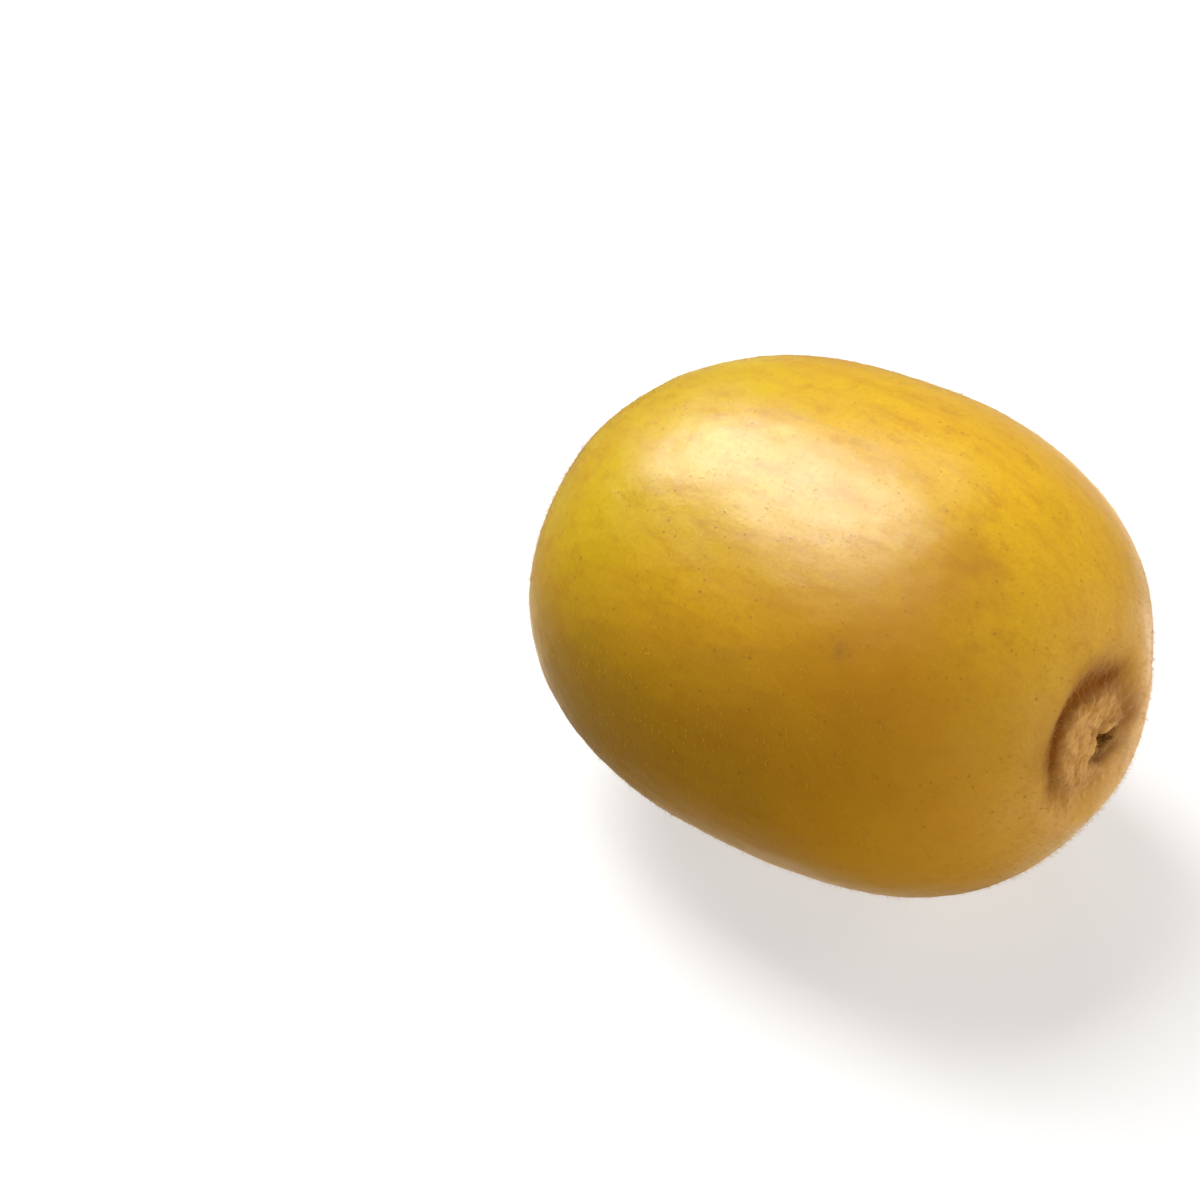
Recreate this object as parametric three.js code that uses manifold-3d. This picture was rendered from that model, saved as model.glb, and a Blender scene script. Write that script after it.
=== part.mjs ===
// A golden kiwi fruit, lying on its side as it comes to rest.
//
// Lengths are in millimetres. +X runs along the fruit, from its stem end to its blossom
// end, and +Z is up. The origin is on the surface that the fruit rests on, below the
// middle of its bounding box.
//
// The fruit grew in one piece, so it is one closed solid: an oval body turned about its
// length, with the ringed button of the blossom end at one pole, the dimple and scar of
// the stem end at the other, and a small flat where its weight presses on the surface.

import * as THREE from 'three';
import { mergeVertices } from 'three/addons/utils/BufferGeometryUtils.js';
import Module from 'manifold-3d';

// Body. A fullness of 2 is a plain ellipse, and a larger one is squarer.
const HALF_LENGTH = 32.8;
const HALF_WIDTH = 26;
const STEM_FULLNESS = 2.45;
const BLOSSOM_FULLNESS = 2.35;
const BLOSSOM_SWELL = 0.045;    // how much wider the blossom half grows, as a share
const OVALITY = 0.012;          // wider than round and lower than round, as a share
const LOBE_HEIGHT = 0.5;        // three faint lobes round the body
const LOBE_PHASE = 3.3;         // three times the angle from a lobe's crest to +Y, in radians
const LOBE_TWIST = 0.85;        // how much that grows from the middle to the blossom end
const BOW_SIDEWAYS = 0.45;      // how far both ends bend towards -Y
const BOW_DOWN = 0.3;           // and towards -Z

// Blossom end: a groove round a low button, which has a pit where the flower's styles were.
// The ring sits a little off the fruit's axis, and the pit a little off the ring's middle.
const RING_RADIUS = 6.75;
const RING_WIDTH = 1.5;
const RING_DEPTH = 0.9;
const PIT_RADIUS = 1.5;
const PIT_DEPTH = 1.3;
const RING_SHIFT = new THREE.Vector2(-1.7, 0.7);      // in Y and Z
const RING_SHIFT_REACH = 13;
const PIT_SHIFT = new THREE.Vector2(2.4, -1.6);
const PIT_SHIFT_REACH = 3.8;

// Stem end: a shallow dimple round the woody scar that the stalk left.
const DIMPLE_RADIUS = 5.2;
const DIMPLE_DEPTH = 1.5;
const SCAR_RADIUS = 2.3;
const SCAR_HEIGHT = 1.2;

// Resting place.
const REST_TILT = THREE.MathUtils.degToRad(3);    // the fuller blossom end lies higher
const REST_FLAT_DEPTH = 0.4;

// Mesh.
const SEGMENTS_AROUND = 64;
const RINGS_ALONG_MIDDLE = 22;
const END_REACH = 10.4;         // finely ringed out to this radius at both ends
const END_RING_STEP = 0.8;
const MERGE_TOLERANCE = 1e-3;

const SKIN_COLOUR = 0xc79a2e;

const wasm = await Module();
wasm.setup();

function bell(distance, width) {
  return Math.exp(-((distance / width) ** 2));
}

// How far the skin stands in from the plain oval at the blossom end.
function blossomSink(radius) {
  return RING_DEPTH * bell(radius - RING_RADIUS, RING_WIDTH) + PIT_DEPTH * bell(radius, PIT_RADIUS);
}

// The same at the stem end, where the scar stands up again inside the dimple.
function stemSink(radius) {
  return DIMPLE_DEPTH * bell(radius, DIMPLE_RADIUS) - SCAR_HEIGHT * bell(radius, SCAR_RADIUS) ** 2;
}

// The outline at an angle from the stem pole, 0, to the blossom pole, PI: x is the
// distance from the fruit's axis, and y the place along it.
function outlinePoint(angle) {
  const along = -Math.cos(angle);
  const fullness = along < 0 ? STEM_FULLNESS : BLOSSOM_FULLNESS;
  const place = Math.sign(along) * Math.abs(along) ** (2 / fullness);
  const radius = HALF_WIDTH * Math.abs(Math.sin(angle)) ** (2 / fullness) * (1 + BLOSSOM_SWELL * place);
  const sink = along < 0 ? -stemSink(radius) : blossomSink(radius);
  return new THREE.Vector2(radius, HALF_LENGTH * place - sink);
}

// Rings at even steps of radius near a pole: the angles from that pole.
function poleAngles(fullness) {
  const count = Math.round(END_REACH / END_RING_STEP);
  return Array.from({ length: count + 1 }, (_, ring) => {
    const share = (ring * END_RING_STEP) / HALF_WIDTH;
    return Math.asin(share ** (fullness / 2));
  });
}

function outline() {
  const stem = poleAngles(STEM_FULLNESS);
  const blossom = poleAngles(BLOSSOM_FULLNESS).map((angle) => Math.PI - angle).reverse();
  const start = stem.at(-1);
  const step = (blossom[0] - start) / (RINGS_ALONG_MIDDLE + 1);
  const middle = Array.from({ length: RINGS_ALONG_MIDDLE }, (_, ring) => start + (ring + 1) * step);
  const points = [...stem, ...middle, ...blossom].map(outlinePoint);
  points[0].x = 0;
  points[points.length - 1].x = 0;
  return points;
}

// How far, in Y and Z, a point at the blossom end moves off the axis with its ring and pit.
function blossomShift(radius) {
  const ring = RING_SHIFT.clone().multiplyScalar(bell(radius, RING_SHIFT_REACH));
  const pit = PIT_SHIFT.clone().multiplyScalar(bell(radius, PIT_SHIFT_REACH));
  return ring.add(pit);
}

// Takes a perfectly turned body, axis along +X, to the slightly uneven shape of a grown one.
function growUnevenly(geometry) {
  const position = geometry.attributes.position;
  for (let i = 0; i < position.count; i += 1) {
    const x = position.getX(i);
    const radius = Math.hypot(position.getY(i), position.getZ(i));
    const shift = x > 0 ? blossomShift(radius) : new THREE.Vector2();
    const y = position.getY(i) + shift.x;
    const z = position.getZ(i) + shift.y;
    const place = THREE.MathUtils.clamp(x / HALF_LENGTH, -1, 1);
    const distance = Math.hypot(y, z);
    const lobe = LOBE_HEIGHT * Math.cos(3 * Math.atan2(z, y) + LOBE_PHASE + LOBE_TWIST * place);
    const swell = 1 + (lobe * (distance / HALF_WIDTH) * (1 - place ** 2)) / HALF_WIDTH;
    position.setY(i, y * swell * (1 + OVALITY) - BOW_SIDEWAYS * place ** 2);
    position.setZ(i, z * swell * (1 - OVALITY) - BOW_DOWN * place ** 2);
  }
}

// A closed geometry with its shared vertices merged and its collapsed triangles dropped.
function toSolid(geometry) {
  geometry.deleteAttribute('normal');
  geometry.deleteAttribute('uv');
  const merged = mergeVertices(geometry, MERGE_TOLERANCE);
  const corners = merged.index.array;
  const triangles = [];
  for (let i = 0; i < corners.length; i += 3) {
    const [a, b, c] = corners.subarray(i, i + 3);
    if (a !== b && b !== c && c !== a) {
      triangles.push(a, b, c);
    }
  }
  const vertProperties = Float32Array.from(merged.attributes.position.array);
  return new wasm.Manifold(new wasm.Mesh({ numProp: 3, vertProperties, triVerts: Uint32Array.from(triangles) }));
}

function toGeometry(solid) {
  const mesh = solid.getMesh();
  const geometry = new THREE.BufferGeometry();
  geometry.setAttribute('position', new THREE.BufferAttribute(Float32Array.from(mesh.vertProperties), 3));
  geometry.setIndex(new THREE.BufferAttribute(Uint32Array.from(mesh.triVerts), 1));
  geometry.computeVertexNormals();
  return geometry;
}

// Cuts off everything below a height, which leaves a flat face there.
function cutFlatBelow(geometry, height) {
  const side = 4 * HALF_LENGTH;
  const block = new THREE.BoxGeometry(side, side, side);
  block.translate(0, 0, height - side / 2);
  return toGeometry(toSolid(geometry).subtract(toSolid(block)));
}

// Puts the lowest face on z = 0, with the middle of the bounding box above the origin.
function setDown(geometry) {
  geometry.computeBoundingBox();
  const { min, max } = geometry.boundingBox;
  geometry.translate(-(min.x + max.x) / 2, -(min.y + max.y) / 2, -min.z);
}

function makeFruit() {
  const body = new THREE.LatheGeometry(outline(), SEGMENTS_AROUND);
  body.rotateZ(-Math.PI / 2);
  growUnevenly(body);
  body.rotateY(-REST_TILT);
  body.computeBoundingBox();
  const fruit = cutFlatBelow(body, body.boundingBox.min.z + REST_FLAT_DEPTH);
  setDown(fruit);
  return fruit;
}

const skin = new THREE.MeshStandardMaterial({ color: SKIN_COLOUR, roughness: 0.5, metalness: 0 });
const kiwi = new THREE.Mesh(makeFruit(), skin);
kiwi.name = 'kiwi_fruit';

const group = new THREE.Group();
group.add(kiwi);

export default group;
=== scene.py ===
"""A golden kiwi fruit lying on its side, on a plain pale floor under soft studio light.

Everything is in metres in the row's own frame: +X runs along the fruit from its stem end
to its blossom end, +Z is up, and the fruit rests on z = 0.
"""

import math
from typing import NamedTuple

import bpy
import numpy as np
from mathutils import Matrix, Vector
from mathutils.bvhtree import BVHTree


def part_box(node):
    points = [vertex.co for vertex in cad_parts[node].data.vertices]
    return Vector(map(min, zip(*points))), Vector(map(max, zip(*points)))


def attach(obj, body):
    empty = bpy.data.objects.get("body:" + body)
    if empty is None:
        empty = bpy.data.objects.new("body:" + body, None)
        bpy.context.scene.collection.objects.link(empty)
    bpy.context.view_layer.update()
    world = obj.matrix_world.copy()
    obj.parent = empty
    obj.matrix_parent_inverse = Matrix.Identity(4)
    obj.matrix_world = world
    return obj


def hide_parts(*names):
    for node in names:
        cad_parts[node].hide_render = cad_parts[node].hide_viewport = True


MM = 0.001
TINY = 1e-9
NODE = "kiwi_fruit"

# The fruit's shape, as in the CAD solid. A fullness of 2 is a plain ellipse.
HALF_LENGTH = 32.8 * MM
HALF_WIDTH = 26 * MM
STEM_FULLNESS = 2.45
BLOSSOM_FULLNESS = 2.35
BLOSSOM_SWELL = 0.045
OVALITY = 0.012
LOBE_HEIGHT = 0.5 * MM
LOBE_PHASE = 3.3
LOBE_TWIST = 0.85
BOW_SIDEWAYS = 0.45 * MM
BOW_DOWN = 0.3 * MM
REST_TILT = math.radians(3)
REST_FLAT_DEPTH = 0.4 * MM
REST_FLAT_EDGE = 0.12 * MM  # how softly the skin turns up round the flat

# Skin mesh: rows at even steps of radius near both ends, and wider ones between them.
COLUMNS = 352
END_REACH = 10.5 * MM
END_ROWS = 77
MIDDLE_ROWS = 112

# Random unevenness is a sum of waves, whose lengths vary within these shares of a wavelength.
# Below, a layer of it is a pair: how far it goes up and down, and its wavelength. An edge is
# the pair of distances between which something ends. Angles go round the fruit's axis, from
# +Y towards +Z, and a spread says how far round something reaches.
WAVES = 40
WAVE_LENGTH_RANGE = (0.7, 1.5)

# Blossom end: a groove round a domed, lumpy button with a pit, inside a faint collar.
BLOSSOM_LEAN = np.array([0, -3.3, 2.7]) * MM  # how far the end sits off the axis
BLOSSOM_LEAN_REACH = 10 * MM
RING_RADIUS = 6.0 * MM
RING_WANDER = (0.3 * MM, 7 * MM)
RING_BULGE = 0.8 * MM
RING_BULGE_SIDE = math.radians(115)
RING_BULGE_SPREAD = 0.3
RING_WIDTH_INSIDE = 1.15 * MM
RING_WIDTH_OUTSIDE = 2.1 * MM
RING_DEPTH = 0.6 * MM
RING_STRENGTH = 0.8  # the groove's depth on average, as a share
RING_STRENGTH_SWING = 0.25  # how much deeper it is on its deepest side
RING_STRENGTH_WANDER = (0.05, 5 * MM)
RING_DEEPEST = math.radians(105)
STAIN_AND_SHADE_WIDTH = 1.4  # the groove's dark stain and painted shade, beside the groove's own width
STAIN_AND_SHADE_LEAST = 0.3
STAIN_AND_SHADE_STRENGTHS = (0.53, 0.9)  # groove strengths between which the stain and painted shade grow
BUTTON_EDGE = (-1.9 * MM, -0.1 * MM)  # from the ring
BUTTON_CORK_EDGE = (-0.6 * MM, 0.9 * MM)
BUTTON_DOME = 0.05 * MM
LUMPS = 11
LUMP_HEIGHT = 0.22 * MM
LUMP_REACH = 0.85 * RING_RADIUS
LUMP_SIZE = 0.4  # as a share of that reach
LUMP_TURN = 2.4  # from each lump to the next, in radians
LUMP_WARP = (0.35 * MM, 3 * MM)
CREASE_DEPTH = 0.12 * MM
CREASE_WIDTH = 0.5 * MM
CORK_ROUGHNESS = ((0.05 * MM, 1.0 * MM), (0.028 * MM, 0.5 * MM))
PIT_PLACE = (3.0 * MM, -2.6 * MM)  # in Y and Z, from the ring's middle
PIT_RADIUS = 1.7 * MM
PIT_RAGGEDNESS = (0.2, 2 * MM)
PIT_DEPTH = 1.6 * MM
COLLAR_RADIUS = 10.2 * MM
COLLAR_WIDTH = 1.6 * MM
COLLAR_HEIGHT = 0.2 * MM
LIP_RADIUS = 9 * MM  # a lip where the collar swells, on one side
LIP_WIDTH = 3.5 * MM
LIP_HEIGHT = 1.1 * MM
LIP_SIDE = math.radians(-35)
LIP_SPREAD = 0.5
BLOSSOM_ROUGH_EDGE = (6 * MM, 10 * MM)
BLOSSOM_HALO = 13 * MM

# Stem end: a dimple with a cork ring round the woody scar where the stalk broke off.
DIMPLE_RADIUS = 5.2 * MM
DIMPLE_DEPTH = 1.5 * MM
SCAR_RADIUS = 2.1 * MM
SCAR_RAGGEDNESS = (0.07, 1.6 * MM)
SCAR_EDGE = (-0.35 * MM, 0.3 * MM)
SCAR_HEIGHT = 0.8 * MM
SCAR_RIM_INSET = 0.35 * MM
SCAR_RIM_WIDTH = 0.4 * MM
SCAR_RIM_HEIGHT = 0.22 * MM
SCAR_RIM_RAGGEDNESS = (0.5, 0.8 * MM)
SCAR_HOLLOW_RADIUS = 0.7 * MM
SCAR_HOLLOW_DEPTH = 0.45 * MM
STEM_CORK_RADIUS = 3.1 * MM
STEM_CORK_WIDTH = 1.5 * MM
STEM_CORK_ROUGHNESS = 0.8  # beside the scar's
STEM_CREASES = 19
STEM_CREASE_WANDER = (2.2, 4 * MM)
STEM_CREASE_HEIGHT = 0.06 * MM
STEM_CREASE_RADIUS = 5 * MM
STEM_CREASE_WIDTH = 1.7 * MM
STEM_ROUGH_EDGE = (3 * MM, 7 * MM)
STEM_HALO = 10 * MM

# The skin's own unevenness, and what roughens it at both ends.
SKIN_LAYERS = ((0.075 * MM, 17 * MM), (0.022 * MM, 6 * MM), (0.012 * MM, 1.9 * MM))
END_ROUGHNESS = (0.05 * MM, 1.1 * MM)

# Where the skin is browner on its lower side, partly russet and partly painted shade: this
# direction, with Y to either side, and how nearly the skin has to face it.
RUSSET_AND_SHADE_FACING = np.array([0.2, 0.8, -0.56])
RUSSET_AND_SHADE_RANGE = (-0.15, 0.85)

# Browner patches, partly russet and partly painted shade; paler ones, a painted rim highlight; and
# small scuffs: place and reach in millimetres, and strength.
PATCH_WARP = (0.8 * MM, 5 * MM)
PATCHES = {
    # browner, partly russet and partly painted shade
    "russet_and_shade_patch": (
        ((16.5, -19.0, 39.0), 11.0, 0.9),
        ((18.5, -7.0, 47.4), 4.0, 0.6),
    ),
    # painted rim highlight: paler peach skin along the blossom end's +Y edge
    "pale": (
        ((30.0, 12.5, 30.5), 4.0, 0.9),
        ((32.2, 8.8, 27.5), 3.2, 0.9),
        ((32.8, 6.2, 23.5), 3.2, 0.9),
        ((32.9, 3.0, 20.3), 3.2, 0.8),
    ),
    "scuff": (
        ((1.2, -22.9, 38.1), 1.4, 0.6),
        ((12.9, -19.0, 41.9), 1.5, 0.9),
        ((1.3, -17.4, 44.2), 1.2, 0.3),
        ((-7.0, -21.5, 38.4), 1.2, 0.4),
        ((20.1, -5.1, 47.3), 2.2, 0.5),
        ((4.2, -12.5, 47.5), 0.9, 0.3),
    ),
}

# Strands of every kind. A range of lengths is in shares of the length given.
STRAND_TAPER = 0.6  # the width goes with this power of the distance from the tip
NEARLY_ALONG_X = 0.8  # of a unit vector's X
MASK_CORE = 0.5  # strands grow where their mask is above this

# Fuzz: very short soft hairs, longer and closer together at the two ends.
HAIRS = 18000
HAIR_LENGTH = 0.5 * MM
HAIR_LENGTH_RANGE = (0.5, 1.3)
HAIR_WIDTH = 0.028 * MM
HAIR_LEAN = 0.55
HAIR_DISORDER = 0.6
HAIR_BEND = 0.45
HAIR_ROOT_SCATTER = 0.15 * MM
HAIR_ROOT_DEPTH = 0.05 * MM
HAIR_CLEARANCE = 1.2 * MM  # no hairs lower than this, where the fruit rests
END_HAIR_GROWTH = 0.4
END_HAIR_CROWDING = 1.5
END_HAIR_START = 0.7 * HALF_LENGTH

# The flower's dried styles in the blossom pit, and broken fibres on the stem scar.
STYLES = 34
STYLE_LENGTH = 1.9 * MM
STYLE_LENGTH_RANGE = (0.5, 1)
STYLE_WIDTH = 0.2 * MM
STYLE_RISE_RANGE = (0.5, 1)
STYLE_SPLAY = 0.8
STYLE_CURL = 0.45
STYLE_DROOP = 0.25
STYLE_ROOT_DEPTH = 0.2 * MM
FIBRES = 90
FIBRE_LENGTH = 0.45 * MM
FIBRE_LENGTH_RANGE = (0.4, 1.2)
FIBRE_WIDTH = 0.09 * MM
FIBRE_SPLAY = 0.3
FIBRE_BEND = 0.2
FIBRE_ROOT_DEPTH = 0.1 * MM

# Shrivelled sepals round the stem scar. The ranges are each sepal's own share.
SEPALS = 5
SEPAL_SCATTER = 0.15  # off their even places round the scar, as a share of a step
SEPAL_LENGTH = 3.1 * MM
SEPAL_LENGTH_RANGE = (0.6, 1.1)
SEPAL_WIDTH = 2.0 * MM
SEPAL_WIDTH_RANGE = (0.8, 1.15)
SEPAL_ROOT_WIDTH = 0.75
SEPAL_WIDENING = 0.5
SEPAL_TAPER = 0.93
SEPAL_SWEEP = 0.25
SEPAL_FRAY = (0.35 * MM, 0.8 * MM)
SEPAL_LIFT = 0.55 * MM
SEPAL_CURL = 0.4 * MM
SEPAL_LIFT_RANGE = (0.5, 1.3)
SEPAL_ROOT_CURL = 0.3  # curl and ruffle at the root, which grow by 1 towards the tip
SEPAL_RUFFLE = (0.12 * MM, 1.1 * MM)
SEPAL_THICKNESS = 0.16 * MM
SEPAL_TIP_THINNING = 0.6
SEPAL_EDGE_THINNING = 0.5
SEPAL_ROOT_DEPTH = 0.5 * MM
SEPAL_ROWS = 16
SEPAL_COLUMNS = 11

# Colours.
GOLD = (0.59, 0.35, 0.006)
OLIVE = (0.52, 0.375, 0.006)
RUSSET = (0.40, 0.175, 0.008)
TAN = (0.65, 0.37, 0.12)
# painted rim highlight
PAINTED_RIM_HIGHLIGHT = (0.95, 0.66, 0.36)
BARK = (0.18, 0.055, 0.006)
CORK = (0.58, 0.32, 0.11)
HUSK = (0.26, 0.115, 0.025)
WOOD = (0.32, 0.17, 0.05)
LENTICEL = (0.27, 0.125, 0.02)
DRY = (0.055, 0.028, 0.010)
HAIR = (0.60, 0.37, 0.07)

# Patterns in the skin: the size of their blobs, the noise's detail and roughness, and how
# far they are squeezed along each axis. Less than 1 draws them out.
SKIN_NOISES = {
    "broad": {"size": 19 * MM, "detail": 2},
    "mottle": {"size": 11 * MM, "detail": 6, "roughness": 0.6, "squeeze": (0.55, 1, 1)},
    "halo": {"size": 6 * MM, "detail": 4},
    "fleck": {"size": 2.1 * MM, "detail": 5, "roughness": 0.7, "squeeze": (0.6, 1, 1)},
    "streak": {"size": 1.6 * MM, "detail": 3, "squeeze": (0.14, 1, 1)},
    "broken": {"size": 1.6 * MM, "detail": 5, "roughness": 0.7},
    "cork": {"size": 1.2 * MM, "detail": 6, "roughness": 0.7},
    "wood": {"size": 0.5 * MM, "detail": 5, "roughness": 0.7},
    "grain": {"size": 0.45 * MM, "detail": 3},
}
SKIN_DOTS = {
    "lenticels": {"spacing": 1.4 * MM, "radius": 0.24 * MM},
    "stipple": {"spacing": 0.48 * MM, "radius": 0.13 * MM},
}
DOT_CORE = 0.25  # the part of a dot's radius where it is full

# Where patterns mark the skin: the two values of the pattern between which the mark grows,
# and its strength at each.
MARKS = {
    "mottle": (0.42, 0.78, 0, 0.6),
    "streak": (0.45, 0.75, 0, 0.3),
    "fleck": (0.5, 0.72, 0, 0.55),
    "grain": (0.3, 0.7, 0, 0.22),
    "broken": (0.35, 0.6, 0.3, 1),
    "halo": (0.2, 0.7, 0.55, 1),
    "cork": (0.42, 0.8, 0, 1),
}
LENTICELS_IN_FLECKS = (0.35, 0.6, 0.25, 0.8)  # the same, for lenticels in the fleck pattern
PIT_STAIN = (0.03, 0.5, 0, 0.7)  # and for the stain round the pit, in the pit's mask
STIPPLE_STRENGTH = 0.3

# How strongly masks colour the skin, where that is less than fully.
MASK_STRENGTHS = {
    "russet_and_shade_side": 0.75,
    "stem_halo": 0.85,
    "button": 0.85,
    "crease": 0.3,
    "pit": 0.95,
    "stem_cork": 0.75,
}

# The skin goes from gold to olive with its place along the fruit, from -1 to 1, and with the
# broad pattern.
GREENING = 1.1  # how much the pattern adds to the place
GREENING_RANGE = (0.75, -0.35)  # gold at the first sum, and olive at the second

# Gloss and bumps. A bump is its height and its strength.
MOTTLE_ROUGHNESS = (0.3, 0.8, 0.34, 0.46)
HALO_ROUGHNESS = 0.12
DRY_RANGE = (0, 0.8)
DRY_ROUGHNESS = 0.35
PORE_BUMP = (0.02 * MM, 0.5)
STIPPLE_BUMP = 0.5  # beside the lenticels
GRAIN_BUMP = (0.03 * MM, 0.5)
CORK_BUMP = (0.25 * MM, 0.8)
SUBSURFACE_REACH = (3 * MM, 1.4 * MM, 0.4 * MM)

# Dead plant matter.
HUSK_STREAKS = {"size": 0.4 * MM, "detail": 5, "roughness": 0.65}
HUSK_STREAK_RANGE = (0.3, 0.7)
HUSK_BUMP = (0.1 * MM, 0.8)
HAIR_NOISE = {"size": 4 * MM, "detail": 2}

# Camera, from the fruit's place and size in a frame of 1200 by 1200 pixels.
FRAME_PIXELS = 1200
FRUIT_PIXEL = (840, 623)
PIXELS_PER_METRE = 9655
CAMERA_AZIMUTH = math.radians(36.7)
CAMERA_ELEVATION = math.radians(41)
CAMERA_DISTANCE = 0.55
CAMERA_CLIP = 0.01
SENSOR = 36.0

# Floor: a table that gives off some light of its own.
FLOOR_SIDE = 6.0
FLOOR_DROP = 0.05 * MM
FLOOR_GREYS = ((0.40, 0.40, 0.40), (0.41, 0.41, 0.41))
FLOOR_GRAIN = 0.2
FLOOR_ROUGHNESS = 0.9
FLOOR_GLOW = (0.55, 1.0)  # near the fruit, and far off
FLOOR_REACH = (0.06, 0.5)  # distances between which the glow grows
WHITE = (1, 1, 1)


class Softbox(NamedTuple):
    """A soft light that faces the fruit, in metres and watts."""

    direction: tuple  # from the fruit
    distance: float
    size: tuple
    power: float
    colour: tuple
    shines: bool  # whether the skin shows its reflection


SOFTBOXES = {
    "key": Softbox((-0.55, 0.12, 0.83), 0.7, (0.38, 0.65), 9.0, (1, 0.99, 0.97), True),
    "crown": Softbox((-0.24, 0.62, 0.74), 0.8, (0.25, 0.25), 0.6, (1, 0.97, 0.9), True),
    "fill": Softbox((0.94, -0.25, 0.18), 0.9, (0.6, 0.4), 5.9, (1, 0.97, 0.92), False),
    "front": Softbox((0.2, -0.95, 0.3), 0.9, (0.6, 0.4), 0.8, (1, 0.97, 0.92), False),
    "stem_side": Softbox((-0.9, -0.3, 0.3), 0.9, (0.6, 0.4), 0.6, (1, 0.97, 0.92), False),
    "rim": Softbox((0.4, 0.9, 0.16), 0.8, (0.4, 0.22), 3.7, (1, 0.95, 0.93), False),
    "glint": Softbox((0.12, 0.75, -0.65), 0.8, (0.45, 0.45), 0.6, (1, 0.93, 0.84), True),
    "overhead": Softbox((-0.36, -0.2, 0.91), 0.8, (0.2, 0.2), 0.4, (1, 0.95, 0.95), True),
    "table": Softbox((0, 0, -1), 0.03, (1.2, 1.2), 2.8, (1, 0.97, 0.92), False),
}


# ---------------------------------------------------------------- shape helpers


def bell(distance, width):
    return np.exp(-((distance / width) ** 2))


def ease(value, start, end):
    """0 before start, 1 after end, and a smooth step between."""
    share = np.clip((value - start) / (end - start), 0, 1)
    return share * share * (3 - 2 * share)


def on_side(around, side, spread):
    """1 on one side of the axis, and less further round from it."""
    return bell(np.cos(around - side) - 1, spread)


def unit(vectors):
    return vectors / np.linalg.norm(vectors, axis=1, keepdims=True)


def ripple(points, layer, seed):
    """One layer of random unevenness: a smooth field, the same for the same seed."""
    height, wavelength = layer
    rng = np.random.default_rng(seed)
    directions = unit(rng.normal(size=(WAVES, 3)))
    lengths = wavelength * rng.uniform(*WAVE_LENGTH_RANGE, (WAVES, 1))
    phases = rng.uniform(0, 2 * np.pi, WAVES)
    angles = points @ (directions * 2 * np.pi / lengths).T + phases
    return height * (np.cos(angles).sum(-1) * math.sqrt(2 / WAVES))


def flattened(vectors, normals):
    """Unit vectors along the surface."""
    flat = vectors - normals * (vectors * normals).sum(1, keepdims=True)
    return flat / (np.linalg.norm(flat, axis=1, keepdims=True) + TINY)


def any_way(normals, rng):
    """A random direction along the surface for each normal."""
    return flattened(rng.normal(size=normals.shape), normals)


# ---------------------------------------------------------------- meshes


def new_piece(name, points, faces, material):
    mesh = bpy.data.meshes.new(name)
    mesh.from_pydata(points.tolist(), [], faces)
    mesh.polygons.foreach_set("use_smooth", [True] * len(mesh.polygons))
    mesh.materials.append(material)
    mesh.update()
    piece = bpy.data.objects.new(name, mesh)
    bpy.context.scene.collection.objects.link(piece)
    return piece


def add_mask(piece, name, values):
    attribute = piece.data.attributes.new(name, "FLOAT", "POINT")
    attribute.data.foreach_set("value", values.astype(np.float32))


def read(items, name, width=1):
    """A property of every item, as an array with a row for each item if the width is above 1."""
    values = np.zeros(len(items) * width)
    items.foreach_get(name, values)
    return values if width == 1 else values.reshape(-1, width)


# ---------------------------------------------------------------- the fruit's shape


def oval(angle):
    """Radius, and place along the axis from -1 to 1, of the plain oval.

    The angle runs from the stem pole, 0, to the blossom pole, pi.
    """
    along = -np.cos(angle)
    fullness = np.where(along < 0, STEM_FULLNESS, BLOSSOM_FULLNESS)
    place = np.sign(along) * np.abs(along) ** (2 / fullness)
    radius = HALF_WIDTH * np.abs(np.sin(angle)) ** (2 / fullness) * (1 + BLOSSOM_SWELL * place)
    return radius, place


def pole_angles(fullness):
    """Rows at even steps of radius near a pole, as angles from that pole."""
    radii = np.linspace(0, END_REACH, END_ROWS)
    return np.arcsin((radii / HALF_WIDTH) ** (fullness / 2))


def row_angles():
    stem = pole_angles(STEM_FULLNESS)
    blossom = np.pi - pole_angles(BLOSSOM_FULLNESS)[::-1]
    middle = np.linspace(stem[-1], blossom[0], MIDDLE_ROWS + 2)[1:-1]
    return np.concatenate([stem, middle, blossom])


def turned_body():
    """Vertices of the plain oval, from pole to pole.

    Gives the points, and for each its radius, its angle round the axis and its place along it.
    """
    angles = row_angles()
    inner = angles[1:-1]
    turn = np.linspace(0, 2 * np.pi, COLUMNS, endpoint=False)
    angle = np.concatenate([angles[:1], np.repeat(inner, COLUMNS), angles[-1:]])
    around = np.concatenate([[0], np.tile(turn, len(inner)), [0]])
    radius, place = oval(angle)
    radius[[0, -1]] = 0
    across = [radius * np.cos(around), radius * np.sin(around)]
    return np.stack([HALF_LENGTH * place, *across], axis=1), radius, around, place


def grid_faces(rows, columns):
    """Faces of a closed grid whose first and last vertices are its two poles."""
    def at(row, column):
        return 1 + row * columns + column % columns

    last = rows * columns + 1
    faces = [(0, at(0, j + 1), at(0, j)) for j in range(columns)]
    for i in range(rows - 1):
        faces += [(at(i, j), at(i, j + 1), at(i + 1, j + 1), at(i + 1, j)) for j in range(columns)]
    faces += [(at(rows - 1, j), at(rows - 1, j + 1), last) for j in range(columns)]
    return faces


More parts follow.
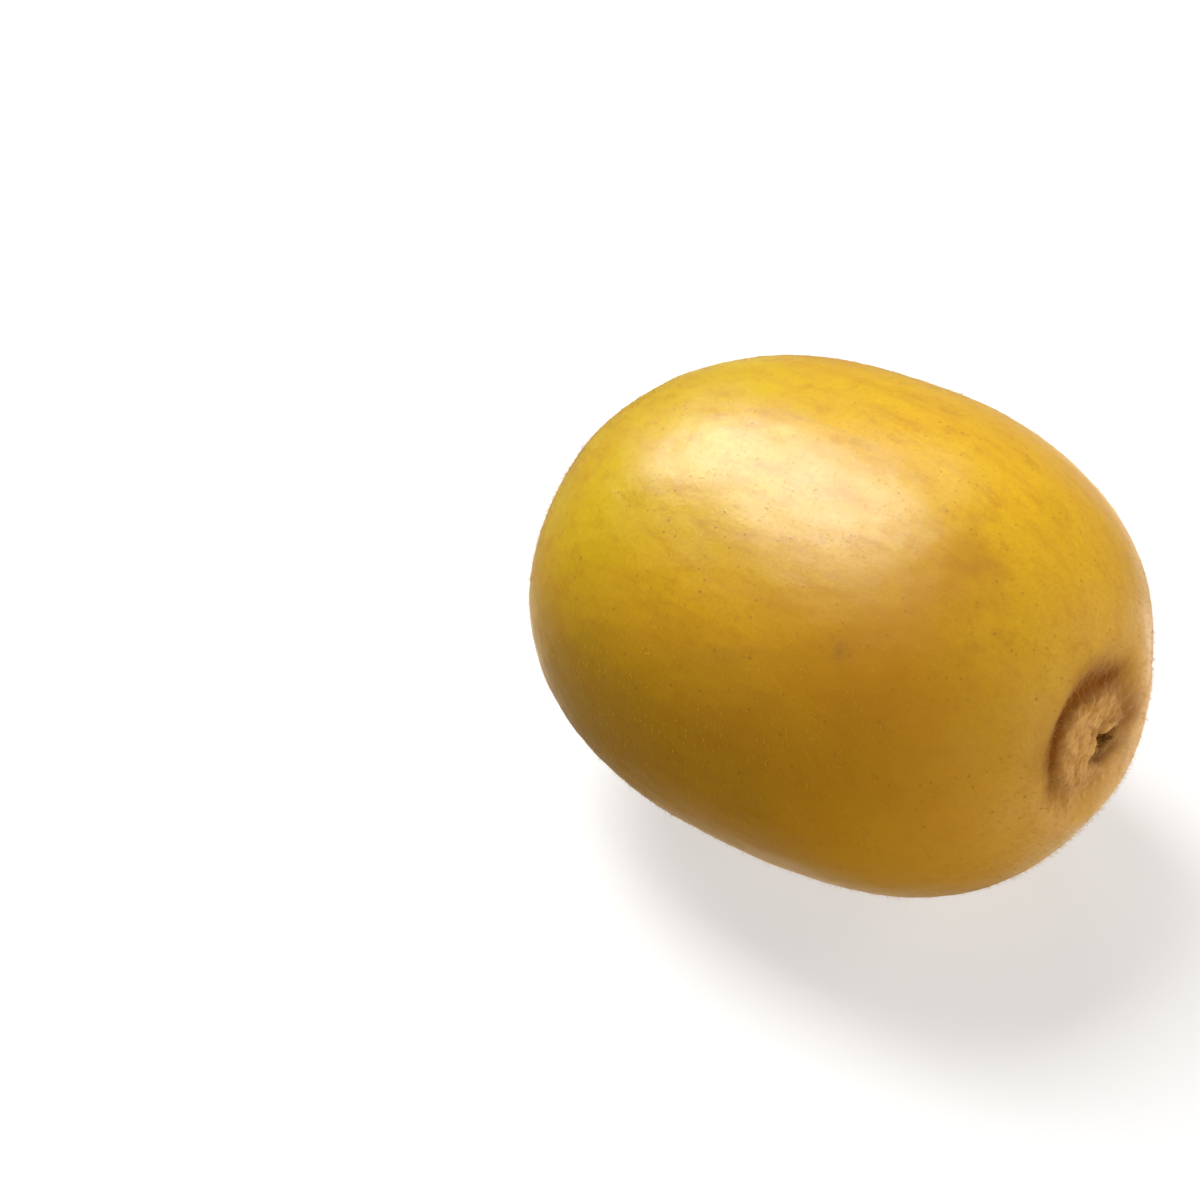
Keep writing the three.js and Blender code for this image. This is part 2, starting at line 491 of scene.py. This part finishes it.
def grow_unevenly(points):
    """Takes a turned body to the slightly lobed and bowed shape of the grown fruit."""
    radius = np.hypot(points[:, 1], points[:, 2])
    lean = BLOSSOM_LEAN * bell(radius, BLOSSOM_LEAN_REACH)[:, None]
    x, y, z = np.where(points[:, :1] > 0, points + lean, points).T
    place = np.clip(x / HALF_LENGTH, -1, 1)
    distance = np.hypot(y, z)
    lobe = LOBE_HEIGHT * np.cos(3 * np.arctan2(z, y) + LOBE_PHASE + LOBE_TWIST * place)
    swell = 1 + lobe * (distance / HALF_WIDTH) * (1 - place**2) / HALF_WIDTH
    return np.stack([
        x,
        y * swell * (1 + OVALITY) - BOW_SIDEWAYS * place**2,
        z * swell * (1 - OVALITY) - BOW_DOWN * place**2,
    ], axis=1)


def turn_to_rest(points):
    """Tips the fuller blossom end up."""
    x, y, z = points.T
    cosine, sine = math.cos(REST_TILT), math.sin(REST_TILT)
    return np.stack([x * cosine - z * sine, y, x * sine + z * cosine], axis=1)


def press_flat(points):
    """Sets the fruit down at z = 0, with a small flat under it that turns up softly."""
    low = points[:, 2].min() + REST_FLAT_DEPTH
    above = points[:, 2] - low
    rounded = (above + np.sqrt(above**2 + REST_FLAT_EDGE**2)) / 2
    points[:, 2] = rounded - rounded.min()
    return points


def centre_on(points, corners):
    """Moves the points so that their box has its middle over the CAD node's."""
    for axis in (0, 1):
        middle = (points[:, axis].min() + points[:, axis].max()) / 2
        points[:, axis] += (corners[0][axis] + corners[1][axis]) / 2 - middle
    return points


def cork_roughness(points, seed):
    return sum(ripple(points, layer, seed) for layer in CORK_ROUGHNESS)


def lumps(points, seed):
    """Rounded lumps side by side on the button, and the creases between them."""
    rng = np.random.default_rng(seed)
    number = np.arange(LUMPS)
    turn = rng.uniform(0, 2 * np.pi, LUMPS) + number * LUMP_TURN
    out = LUMP_REACH * np.sqrt((number + 0.5) / LUMPS)
    middles = np.stack([out * np.cos(turn), out * np.sin(turn)], axis=1)
    warp = np.stack([ripple(points, LUMP_WARP, seed + i) for i in (1, 2)], axis=1)
    distances = np.linalg.norm((points[:, 1:] + warp)[:, None] - middles, axis=2)
    nearest, second = np.sort(distances, axis=1)[:, :2].T
    return 1 - ease(nearest, 0, LUMP_SIZE * LUMP_REACH), bell(second - nearest, CREASE_WIDTH)


def blossom_relief(points, radius, around):
    """How far the skin stands out at the blossom end, and masks for its colours."""
    bulge = RING_BULGE * on_side(around, RING_BULGE_SIDE, RING_BULGE_SPREAD)
    from_ring = radius - RING_RADIUS - bulge - ripple(points, RING_WANDER, seed=11)
    strength = RING_STRENGTH + RING_STRENGTH_SWING * np.cos(around - RING_DEEPEST)
    strength += ripple(points, RING_STRENGTH_WANDER, seed=12)
    width = np.where(from_ring < 0, RING_WIDTH_INSIDE, RING_WIDTH_OUTSIDE)
    groove = bell(from_ring, width) * strength
    # The groove's stain, with painted shade that darkens as the groove deepens.
    stain_and_shade = STAIN_AND_SHADE_LEAST + (1 - STAIN_AND_SHADE_LEAST) * ease(strength, *STAIN_AND_SHADE_STRENGTHS)

    from_pit = np.hypot(points[:, 1] - PIT_PLACE[0], points[:, 2] - PIT_PLACE[1])
    pit = bell(from_pit, PIT_RADIUS * (1 + ripple(points, PIT_RAGGEDNESS, seed=15)))
    swelling, crease = lumps(points, seed=16)
    inside = 1 - ease(from_ring, *BUTTON_EDGE)
    button = BUTTON_DOME + LUMP_HEIGHT * swelling - CREASE_DEPTH * crease
    button += cork_roughness(points, seed=19)

    collar = COLLAR_HEIGHT * bell(radius - COLLAR_RADIUS, COLLAR_WIDTH)
    lip = bell(radius - LIP_RADIUS, LIP_WIDTH) * on_side(around, LIP_SIDE, LIP_SPREAD)
    height = button * inside + collar + LIP_HEIGHT * lip - RING_DEPTH * groove - PIT_DEPTH * pit
    masks = {
        # Brown stain in the groove, with painted shade that is darkest where the groove is deepest.
        "groove": bell(from_ring, STAIN_AND_SHADE_WIDTH * width) * stain_and_shade,
        "button": 1 - ease(from_ring, *BUTTON_CORK_EDGE),
        "pit": pit,
        "crease": crease * inside,
        "blossom_halo": bell(radius, BLOSSOM_HALO),
    }
    return height, masks


def stem_relief(points, radius, around):
    """The same at the stem end."""
    edge = SCAR_RADIUS * (1 + ripple(points, SCAR_RAGGEDNESS, seed=22))
    scar = 1 - ease(radius - edge, *SCAR_EDGE)
    rim = bell(radius - edge + SCAR_RIM_INSET, SCAR_RIM_WIDTH)
    rim *= 1 + ripple(points, SCAR_RIM_RAGGEDNESS, seed=23)
    wood = SCAR_HEIGHT * scar + SCAR_RIM_HEIGHT * rim
    wood -= SCAR_HOLLOW_DEPTH * bell(radius, SCAR_HOLLOW_RADIUS)

    cork = bell(radius - STEM_CORK_RADIUS, STEM_CORK_WIDTH)
    rough = cork_roughness(points, seed=24) * np.maximum(scar, STEM_CORK_ROUGHNESS * cork)
    dimple = DIMPLE_DEPTH * bell(radius, DIMPLE_RADIUS)
    phase = STEM_CREASES * around + ripple(points, STEM_CREASE_WANDER, seed=21)
    creases = STEM_CREASE_HEIGHT * np.cos(phase)
    creases *= bell(radius - STEM_CREASE_RADIUS, STEM_CREASE_WIDTH)
    masks = {"scar": scar, "stem_cork": cork, "stem_halo": bell(radius, STEM_HALO)}
    return wood - dimple + creases + rough, masks


def fine_relief(points, radius, blossom_half):
    """The skin's own unevenness, rougher at both ends."""
    height = sum(ripple(points, layer, seed=30 + i) for i, layer in enumerate(SKIN_LAYERS))
    blossom_smooth = ease(radius, *BLOSSOM_ROUGH_EDGE)
    smooth = np.where(blossom_half, blossom_smooth, ease(radius, *STEM_ROUGH_EDGE))
    return height + (1 - smooth) * ripple(points, END_ROUGHNESS, seed=40)


def patches(points, places):
    """A mask of soft irregular patches."""
    warp = np.stack([ripple(points, PATCH_WARP, seed=60 + i) for i in range(3)], axis=1)
    return sum(
        strength * bell(np.linalg.norm(points + warp - np.array(place) * MM, axis=1), reach * MM)
        for place, reach, strength in places
    )


def make_skin(material, corners):
    plain, radius, around, place = turned_body()
    blossom_half = place > 0
    blossom_height, blossom_masks = blossom_relief(plain, radius, around)
    stem_height, stem_masks = stem_relief(plain, radius, around)
    points = plain.copy()
    points[:, 0] += np.where(blossom_half, blossom_height, -stem_height)

    rows = (len(points) - 2) // COLUMNS
    piece = new_piece("fruit_skin", points, grid_faces(rows, COLUMNS), material)
    normals = read(piece.data.vertices, "normal", 3)
    points += normals * fine_relief(plain, radius, blossom_half)[:, None]
    points = centre_on(press_flat(turn_to_rest(grow_unevenly(points))), corners)
    piece.data.vertices.foreach_set("co", points.ravel())
    piece.data.update()

    for name, values in blossom_masks.items():
        add_mask(piece, name, np.where(blossom_half, values, 0))
    for name, values in stem_masks.items():
        add_mask(piece, name, np.where(blossom_half, 0, values))
    for name, places in PATCHES.items():
        add_mask(piece, name, patches(points, places))
    either_side = normals * [1, 0, 1] + np.abs(normals) * [0, 1, 0]
    # Browner lower side: partly russet, partly painted shade.
    add_mask(piece, "russet_and_shade_side", ease(either_side @ RUSSET_AND_SHADE_FACING, *RUSSET_AND_SHADE_RANGE))
    add_mask(piece, "place", place)
    return piece


# ---------------------------------------------------------------- strands


def strands(roots, directions, bends, lengths, width, sides=3, joints=2):
    """Closed tapered strands. Each starts along its direction and curves by its bend.

    Directions are unit vectors, and a bend is in shares of the strand's length.
    """
    count = len(roots)
    helper = np.where(np.abs(directions[:, :1]) < NEARLY_ALONG_X, [[1.0, 0, 0]], [[0, 1.0, 0]])
    across = unit(np.cross(directions, helper))
    upright = np.cross(directions, across)
    rings = []
    for share in np.arange(joints) / joints:
        centre = roots + lengths[:, None] * (directions * share + bends * share**2)
        thick = width * (1 - share) ** STRAND_TAPER / 2
        for side in range(sides):
            turn = 2 * np.pi * side / sides
            rings.append(centre + thick * (across * math.cos(turn) + upright * math.sin(turn)))
    rings.append(roots + lengths[:, None] * (directions + bends))
    points = np.stack(rings, axis=1).reshape(-1, 3)

    faces = [tuple(reversed(range(sides)))]
    for joint in range(joints - 1):
        low = joint * sides
        faces += [
            (low + s, low + (s + 1) % sides, low + sides + (s + 1) % sides, low + sides + s)
            for s in range(sides)
        ]
    low = (joints - 1) * sides
    faces += [(low + s, low + (s + 1) % sides, joints * sides) for s in range(sides)]
    each = joints * sides + 1
    every = [tuple(corner + i * each for corner in face) for i in range(count) for face in faces]
    return points, every


def nearness_to_end(points):
    return ease(np.abs(points[:, 0]), END_HAIR_START, HALF_LENGTH)


def random_faces(skin, count, rng):
    """Places spread over the skin, closer together near its two ends: points and normals."""
    faces = skin.data.polygons
    centres = read(faces, "center", 3)
    weights = read(faces, "area") * (1 + END_HAIR_CROWDING * nearness_to_end(centres))
    chosen = rng.choice(len(faces), size=count, p=weights / weights.sum())
    return centres[chosen], read(faces, "normal", 3)[chosen]


def masked_places(skin, name, count, rng):
    """Random vertices of the skin inside a mask: points and normals."""
    vertices = skin.data.vertices
    mask = read(skin.data.attributes[name].data, "value")
    weights = np.where(mask > MASK_CORE, mask, 0)
    chosen = rng.choice(len(mask), size=count, p=weights / weights.sum())
    return read(vertices, "co", 3)[chosen], read(vertices, "normal", 3)[chosen]


def make_fuzz(skin, material):
    """Hairs that lean towards the blossom end, everywhere but where the fruit rests."""
    rng = np.random.default_rng(50)
    roots, normals = random_faces(skin, HAIRS, rng)
    clear = roots[:, 2] > HAIR_CLEARANCE
    roots, normals = roots[clear], normals[clear]
    disorder = HAIR_DISORDER * rng.normal(size=roots.shape)
    lean = flattened(disorder + np.array([1.0, 0, 0]), normals)
    roots = roots + HAIR_ROOT_SCATTER * any_way(normals, rng)
    directions = unit(normals + HAIR_LEAN * lean)
    lengths = HAIR_LENGTH * rng.uniform(*HAIR_LENGTH_RANGE, len(roots))
    lengths *= 1 + END_HAIR_GROWTH * nearness_to_end(roots)
    roots = roots - HAIR_ROOT_DEPTH * normals
    points, faces = strands(roots, directions, HAIR_BEND * lean, lengths, HAIR_WIDTH)
    return new_piece("fuzz", points, faces, material)


def make_styles(skin, material):
    """The flower's dried styles, matted together in the blossom pit."""
    rng = np.random.default_rng(51)
    roots, normals = masked_places(skin, "pit", STYLES, rng)
    splay = any_way(normals, rng)
    directions = unit(normals * rng.uniform(*STYLE_RISE_RANGE, (STYLES, 1)) + STYLE_SPLAY * splay)
    curl = STYLE_CURL * any_way(normals, rng) - STYLE_DROOP * normals
    lengths = STYLE_LENGTH * rng.uniform(*STYLE_LENGTH_RANGE, STYLES)
    roots = roots - STYLE_ROOT_DEPTH * normals
    points, faces = strands(roots, directions, curl, lengths, STYLE_WIDTH, sides=5, joints=6)
    return new_piece("dried_styles", points, faces, material)


def make_fibres(skin, material):
    """Broken fibres that stand up from the stem scar."""
    rng = np.random.default_rng(52)
    roots, normals = masked_places(skin, "scar", FIBRES, rng)
    splay = any_way(normals, rng)
    directions = unit(normals + FIBRE_SPLAY * splay)
    lengths = FIBRE_LENGTH * rng.uniform(*FIBRE_LENGTH_RANGE, FIBRES)
    bends = FIBRE_BEND * splay
    roots = roots - FIBRE_ROOT_DEPTH * normals
    points, faces = strands(roots, directions, bends, lengths, FIBRE_WIDTH, sides=4, joints=3)
    return new_piece("stem_fibres", points, faces, material)


# ---------------------------------------------------------------- sepals


def sheet_faces(rows, columns):
    """Faces of a closed thin sheet: a grid, its copy underneath, and the border between them."""
    def at(row, column):
        return row * columns + column

    under = rows * columns
    faces = []
    for row in range(rows - 1):
        for column in range(columns - 1):
            near, far = at(row, column), at(row + 1, column)
            quad = (near, near + 1, far + 1, far)
            faces.append(quad)
            faces.append(tuple(corner + under for corner in reversed(quad)))
    border = [at(0, c) for c in range(columns - 1)]
    border += [at(r, columns - 1) for r in range(rows - 1)]
    border += [at(rows - 1, c) for c in range(columns - 1, 0, -1)]
    border += [at(r, 0) for r in range(rows - 1, 0, -1)]
    for first, second in zip(border, border[1:] + border[:1]):
        faces.append((second, first, first + under, second + under))
    return faces


def sepal(start, out, ground, rng):
    """One shrivelled sepal: it starts at a point near the scar and lies outwards on the skin.

    Along it, t runs from 0 at its root to 1 at its tip. Across, it runs from -1 to 1.
    """
    t, across = np.meshgrid(
        np.linspace(0, 1, SEPAL_ROWS), np.linspace(-1, 1, SEPAL_COLUMNS), indexing="ij"
    )
    t, across = t.ravel(), across.ravel()
    length = SEPAL_LENGTH * rng.uniform(*SEPAL_LENGTH_RANGE)
    outline = (SEPAL_ROOT_WIDTH + SEPAL_WIDENING * t) * (1 - SEPAL_TAPER * t**3)
    half_width = SEPAL_WIDTH / 2 * rng.uniform(*SEPAL_WIDTH_RANGE) * outline
    sweep = rng.uniform(-SEPAL_SWEEP, SEPAL_SWEEP) * length * t**2
    side = np.array([0, -out[2], out[1]])
    flat = start + np.outer(length * t, out) + np.outer(half_width * across + sweep, side)
    fray_seed, ruffle_seed = rng.integers(1000, size=2)
    flat += np.outer(ripple(flat, SEPAL_FRAY, fray_seed) * t**4, out)

    lift = SEPAL_LIFT * rng.uniform(*SEPAL_LIFT_RANGE) * t**1.5
    curl = SEPAL_CURL * rng.uniform(*SEPAL_LIFT_RANGE) * across**2 * (SEPAL_ROOT_CURL + t)
    ruffle = ripple(flat, SEPAL_RUFFLE, ruffle_seed) * (SEPAL_ROOT_CURL + t)
    above = lift + curl + ruffle - SEPAL_ROOT_DEPTH * (1 - t) ** 4
    thinning = (1 - SEPAL_TIP_THINNING * t) * (1 - SEPAL_EDGE_THINNING * across**2)
    top, under = flat.copy(), flat.copy()
    under[:, 0] = ground(flat) - above
    top[:, 0] = under[:, 0] - SEPAL_THICKNESS * thinning
    return np.concatenate([top, under])


def make_sepals(skin, material):
    """The shrivelled sepals round the stem scar."""
    rng = np.random.default_rng(53)
    tree = BVHTree.FromPolygons(
        [vertex.co for vertex in skin.data.vertices], [face.vertices for face in skin.data.polygons]
    )

    def ground(points):
        """Where the stem end's skin is, in X, at each point's Y and Z."""
        inwards = Vector((1, 0, 0))
        return np.array([tree.ray_cast(Vector((-1, y, z)), inwards)[0].x for _, y, z in points])

    pole = np.array(skin.data.vertices[0].co)
    points, faces = [], []
    for i in range(SEPALS):
        turn = 2 * np.pi * (i + rng.uniform(-SEPAL_SCATTER, SEPAL_SCATTER)) / SEPALS
        out = np.array([0, math.cos(turn), math.sin(turn)])
        points.append(sepal(pole + SCAR_RADIUS * out, out, ground, rng))
        first = i * len(points[0])
        for face in sheet_faces(SEPAL_ROWS, SEPAL_COLUMNS):
            faces.append(tuple(corner + first for corner in face))
    return new_piece("dried_sepals", np.concatenate(points), faces, material)


# ---------------------------------------------------------------- materials


class Graph:
    """Builds the nodes of one material."""

    def __init__(self, name):
        self.material = bpy.data.materials.new(name)
        self.material.use_nodes = True
        self.tree = self.material.node_tree
        self.shader = self.tree.nodes["Principled BSDF"]
        self.position = self.tree.nodes.new("ShaderNodeTexCoord").outputs["Object"]

    def feed(self, socket, value):
        if isinstance(value, bpy.types.NodeSocket):
            self.tree.links.new(value, socket)
        elif isinstance(value, (tuple, list)) and len(value) == 3 and socket.type == "RGBA":
            socket.default_value = (*value, 1)
        else:
            socket.default_value = value

    def node(self, kind, inputs, **settings):
        """A new node. Its inputs are keyed by socket name or number."""
        made = self.tree.nodes.new(kind)
        for name, value in settings.items():
            setattr(made, name, value)
        for name, value in inputs.items():
            self.feed(made.inputs[name], value)
        return made

    def noise(self, size, detail=3.0, roughness=0.55, squeeze=None):
        """Noise with blobs of about that size, squeezed along some axes."""
        vector = self.position
        if squeeze:
            inputs = {"Vector": self.position, "Scale": squeeze}
            vector = self.node("ShaderNodeMapping", inputs).outputs["Vector"]
        inputs = {"Vector": vector, "Scale": 1 / size, "Detail": detail, "Roughness": roughness}
        return self.node("ShaderNodeTexNoise", inputs).outputs["Fac"]

    def dots(self, spacing, radius):
        """Round soft dots: 1 at a dot's middle and 0 between them."""
        inputs = {"Vector": self.position, "Scale": 1 / spacing, "Randomness": 1.0}
        distance = self.node("ShaderNodeTexVoronoi", inputs).outputs["Distance"]
        return self.fit(distance, radius / spacing, DOT_CORE * radius / spacing)

    def fit(self, value, low, high, to_low=0.0, to_high=1.0):
        """Goes smoothly from to_low, where the value is low, to to_high, where it is high."""
        inputs = {"Value": value, "From Min": low, "From Max": high}
        inputs |= {"To Min": to_low, "To Max": to_high}
        made = self.node("ShaderNodeMapRange", inputs, interpolation_type="SMOOTHSTEP")
        return made.outputs["Result"]

    def maths(self, operation, first, second):
        made = self.node("ShaderNodeMath", {0: first, 1: second}, operation=operation)
        return made.outputs["Value"]

    def add(self, first, *others):
        for other in others:
            first = self.maths("ADD", first, other)
        return first

    def times(self, first, second):
        return self.maths("MULTIPLY", first, second)

    def mask(self, name):
        return self.node("ShaderNodeAttribute", {}, attribute_name=name).outputs["Fac"]

    def mix(self, share, first, second):
        made = self.tree.nodes.new("ShaderNodeMix")
        made.data_type = "RGBA"
        colour_sockets = [socket for socket in made.inputs if socket.type == "RGBA"]
        self.feed(made.inputs["Factor"], share)
        self.feed(colour_sockets[0], first)
        self.feed(colour_sockets[1], second)
        return next(socket for socket in made.outputs if socket.type == "RGBA")

    def bump(self, height, distance, strength, normal=None):
        inputs = {"Height": height, "Distance": distance, "Strength": strength}
        if normal is not None:
            inputs["Normal"] = normal
        return self.node("ShaderNodeBump", inputs).outputs["Normal"]

    def finish(self, **inputs):
        for name, value in inputs.items():
            self.feed(self.shader.inputs[name.replace("_", " ")], value)
        return self.material


def skin_colour(g, pattern):
    """Gold and olive, with a layer over them for each mark, stain, painted shade and painted
    highlight, from the lowest up.
    """
    def marked(name):
        return g.fit(pattern[name], *MARKS[name])

    def masked(name):
        strength = MASK_STRENGTHS.get(name)
        return g.times(g.mask(name), strength) if strength else g.mask(name)

    corky = g.mix(marked("cork"), CORK, RUSSET)
    woody = g.mix(pattern["wood"], WOOD, BARK)
    lenticels = g.times(pattern["lenticels"], g.fit(pattern["fleck"], *LENTICELS_IN_FLECKS))
    layers = (
        # browner lower side, partly painted shade
        (masked("russet_and_shade_side"), RUSSET),
        # browner patches, partly painted shade
        (masked("russet_and_shade_patch"), RUSSET),
        # painted rim highlight
        (masked("pale"), PAINTED_RIM_HIGHLIGHT),
        (g.times(masked("scuff"), marked("broken")), LENTICEL),
        (marked("mottle"), RUSSET),
        (marked("streak"), RUSSET),
        (marked("fleck"), RUSSET),
        (g.times(masked("blossom_halo"), marked("halo")), TAN),
        (masked("stem_halo"), TAN),
        (lenticels, LENTICEL),
        (g.times(pattern["stipple"], STIPPLE_STRENGTH), RUSSET),
        (marked("grain"), RUSSET),
        (masked("button"), corky),
        # stain and painted shade in the groove
        (masked("groove"), BARK),
        (masked("crease"), BARK),
        (g.fit(g.mask("pit"), *PIT_STAIN), BARK),
        (masked("pit"), DRY),
        (masked("stem_cork"), corky),
        (masked("scar"), woody),
    )
    greener = g.fit(g.add(g.mask("place"), g.times(pattern["broad"], GREENING)), *GREENING_RANGE)
    colour = g.mix(greener, GOLD, OLIVE)
    for share, layer in layers:
        colour = g.mix(share, colour, layer)
    return colour


def skin_material():
    """Satin skin, dull and rough where it is dry."""
    g = Graph("golden_skin")
    pattern = {name: g.noise(**settings) for name, settings in SKIN_NOISES.items()}
    pattern |= {name: g.dots(**settings) for name, settings in SKIN_DOTS.items()}
    dry = g.add(*(g.mask(name) for name in ("groove", "button", "scar", "stem_cork")))
    roughness = g.add(
        g.fit(pattern["mottle"], *MOTTLE_ROUGHNESS),
        g.times(g.mask("blossom_halo"), HALO_ROUGHNESS),
        g.fit(dry, *DRY_RANGE, to_high=DRY_ROUGHNESS),
    )
    dots = g.add(pattern["lenticels"], g.times(pattern["stipple"], STIPPLE_BUMP))
    pores = g.bump(dots, *PORE_BUMP)
    fine = g.bump(pattern["grain"], *GRAIN_BUMP, normal=pores)
    normal = g.bump(g.times(pattern["cork"], g.fit(dry, *DRY_RANGE)), *CORK_BUMP, normal=fine)
    return g.finish(
        Base_Color=skin_colour(g, pattern),
        Roughness=roughness,
        Normal=normal,
        Specular_IOR_Level=0.6,
        Sheen_Weight=0.5,
        Sheen_Roughness=0.3,
        Sheen_Tint=(1.0, 0.83, 0.62),
        Subsurface_Weight=0.08,
        Subsurface_Radius=SUBSURFACE_REACH,
        Subsurface_Scale=1.0,
    )


def dry_material(name, pale, dark):
    """Dead plant matter: streaky, dull and rough."""
    g = Graph(name)
    streaks = g.noise(**HUSK_STREAKS)
    colour = g.mix(g.fit(streaks, *HUSK_STREAK_RANGE), dark, pale)
    normal = g.bump(streaks, *HUSK_BUMP)
    return g.finish(Base_Color=colour, Roughness=0.8, Normal=normal, Specular_IOR_Level=0.3)


def hair_material():
    g = Graph("fuzz_hair")
    colour = g.mix(g.noise(**HAIR_NOISE), HAIR, GOLD)
    return g.finish(Base_Color=colour, Roughness=0.6)


# ---------------------------------------------------------------- studio


def view_axes():
    """Unit vectors from the fruit to the camera, to the right and up in the picture."""
    flat = math.cos(CAMERA_ELEVATION)
    back = Vector((
        math.sin(CAMERA_AZIMUTH) * flat,
        -math.cos(CAMERA_AZIMUTH) * flat,
        math.sin(CAMERA_ELEVATION),
    ))
    right = Vector((math.cos(CAMERA_AZIMUTH), math.sin(CAMERA_AZIMUTH), 0))
    return back, right, back.cross(right)


def make_camera(centre):
    """Looks along the photograph's middle, which the fruit lies to the right of."""
    back, right, up = view_axes()
    aside = (FRUIT_PIXEL[0] - FRAME_PIXELS / 2) / PIXELS_PER_METRE
    below = (FRUIT_PIXEL[1] - FRAME_PIXELS / 2) / PIXELS_PER_METRE
    camera = bpy.data.objects.new("camera", bpy.data.cameras.new("camera"))
    camera.data.sensor_width = SENSOR
    camera.data.lens = SENSOR * CAMERA_DISTANCE * PIXELS_PER_METRE / FRAME_PIXELS
    camera.data.clip_start = CAMERA_CLIP
    camera.location = centre + back * CAMERA_DISTANCE - right * aside + up * below
    camera.rotation_euler = back.to_track_quat("Z", "Y").to_euler()
    bpy.context.scene.collection.objects.link(camera)
    bpy.context.scene.camera = camera


def make_floor():
    """A pale table. Its own light keeps its shadows pale, and loses its far edge in the white."""
    side = FLOOR_SIDE
    corners = np.array([(-side, -side, 0), (side, -side, 0), (side, side, 0), (-side, side, 0)])
    g = Graph("studio_floor")
    away = g.node("ShaderNodeVectorMath", {"Vector": g.position}, operation="LENGTH")
    table = g.finish(
        Base_Color=g.mix(g.noise(FLOOR_GRAIN), *FLOOR_GREYS),
        Roughness=FLOOR_ROUGHNESS,
        Emission_Color=WHITE,
        Emission_Strength=g.fit(away.outputs["Value"], *FLOOR_REACH, *FLOOR_GLOW),
    )
    floor = new_piece("floor", corners, [(0, 1, 2, 3)], table)
    floor.location.z = -FLOOR_DROP
    floor.visible_diffuse = False
    floor.visible_glossy = False
    floor.visible_shadow = False


def make_world():
    """White all round, which the camera sees and the fruit does not."""
    world = bpy.data.worlds.new("studio")
    world.use_nodes = True
    world.node_tree.nodes["Background"].inputs["Color"].default_value = (*WHITE, 1)
    bpy.context.scene.world = world
    world.cycles_visibility.diffuse = False
    world.cycles_visibility.glossy = False


def add_softbox(name, softbox, centre):
    lamp = bpy.data.lights.new(name, "AREA")
    lamp.shape = "RECTANGLE"
    lamp.size, lamp.size_y = softbox.size
    lamp.energy = softbox.power
    lamp.color = softbox.colour
    lamp.cycles.use_multiple_importance_sampling = softbox.shines
    box = bpy.data.objects.new(name, lamp)
    towards = Vector(softbox.direction).normalized()
    box.location = centre + towards * softbox.distance
    box.rotation_euler = towards.to_track_quat("Z", "Y").to_euler()
    box.visible_camera = False
    box.visible_glossy = softbox.shines
    bpy.context.scene.collection.objects.link(box)


def make_studio(centre):
    make_camera(centre)
    make_floor()
    make_world()
    for name, softbox in SOFTBOXES.items():
        add_softbox(name, softbox, centre)
    bpy.context.scene.view_settings.view_transform = "Standard"


# ---------------------------------------------------------------- the scene

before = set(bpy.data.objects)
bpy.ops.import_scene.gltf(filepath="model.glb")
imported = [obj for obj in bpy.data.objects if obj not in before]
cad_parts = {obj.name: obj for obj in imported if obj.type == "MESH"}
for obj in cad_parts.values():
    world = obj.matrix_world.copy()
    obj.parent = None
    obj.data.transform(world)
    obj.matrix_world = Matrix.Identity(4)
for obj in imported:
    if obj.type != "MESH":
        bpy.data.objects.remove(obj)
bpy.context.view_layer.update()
cad_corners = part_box(NODE)
fruit_centre = (cad_corners[0] + cad_corners[1]) / 2

fruit_skin = make_skin(skin_material(), cad_corners)
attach(fruit_skin, "root")
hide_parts(NODE)

fuzz = make_fuzz(fruit_skin, hair_material())
styles = make_styles(fruit_skin, dry_material("dry_style", BARK, DRY))
fibres = make_fibres(fruit_skin, dry_material("dry_fibre", WOOD, BARK))
sepals = make_sepals(fruit_skin, dry_material("dry_sepal", HUSK, DRY))
for detail in (fuzz, styles, fibres, sepals):
    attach(detail, "root")

make_studio(fruit_centre)
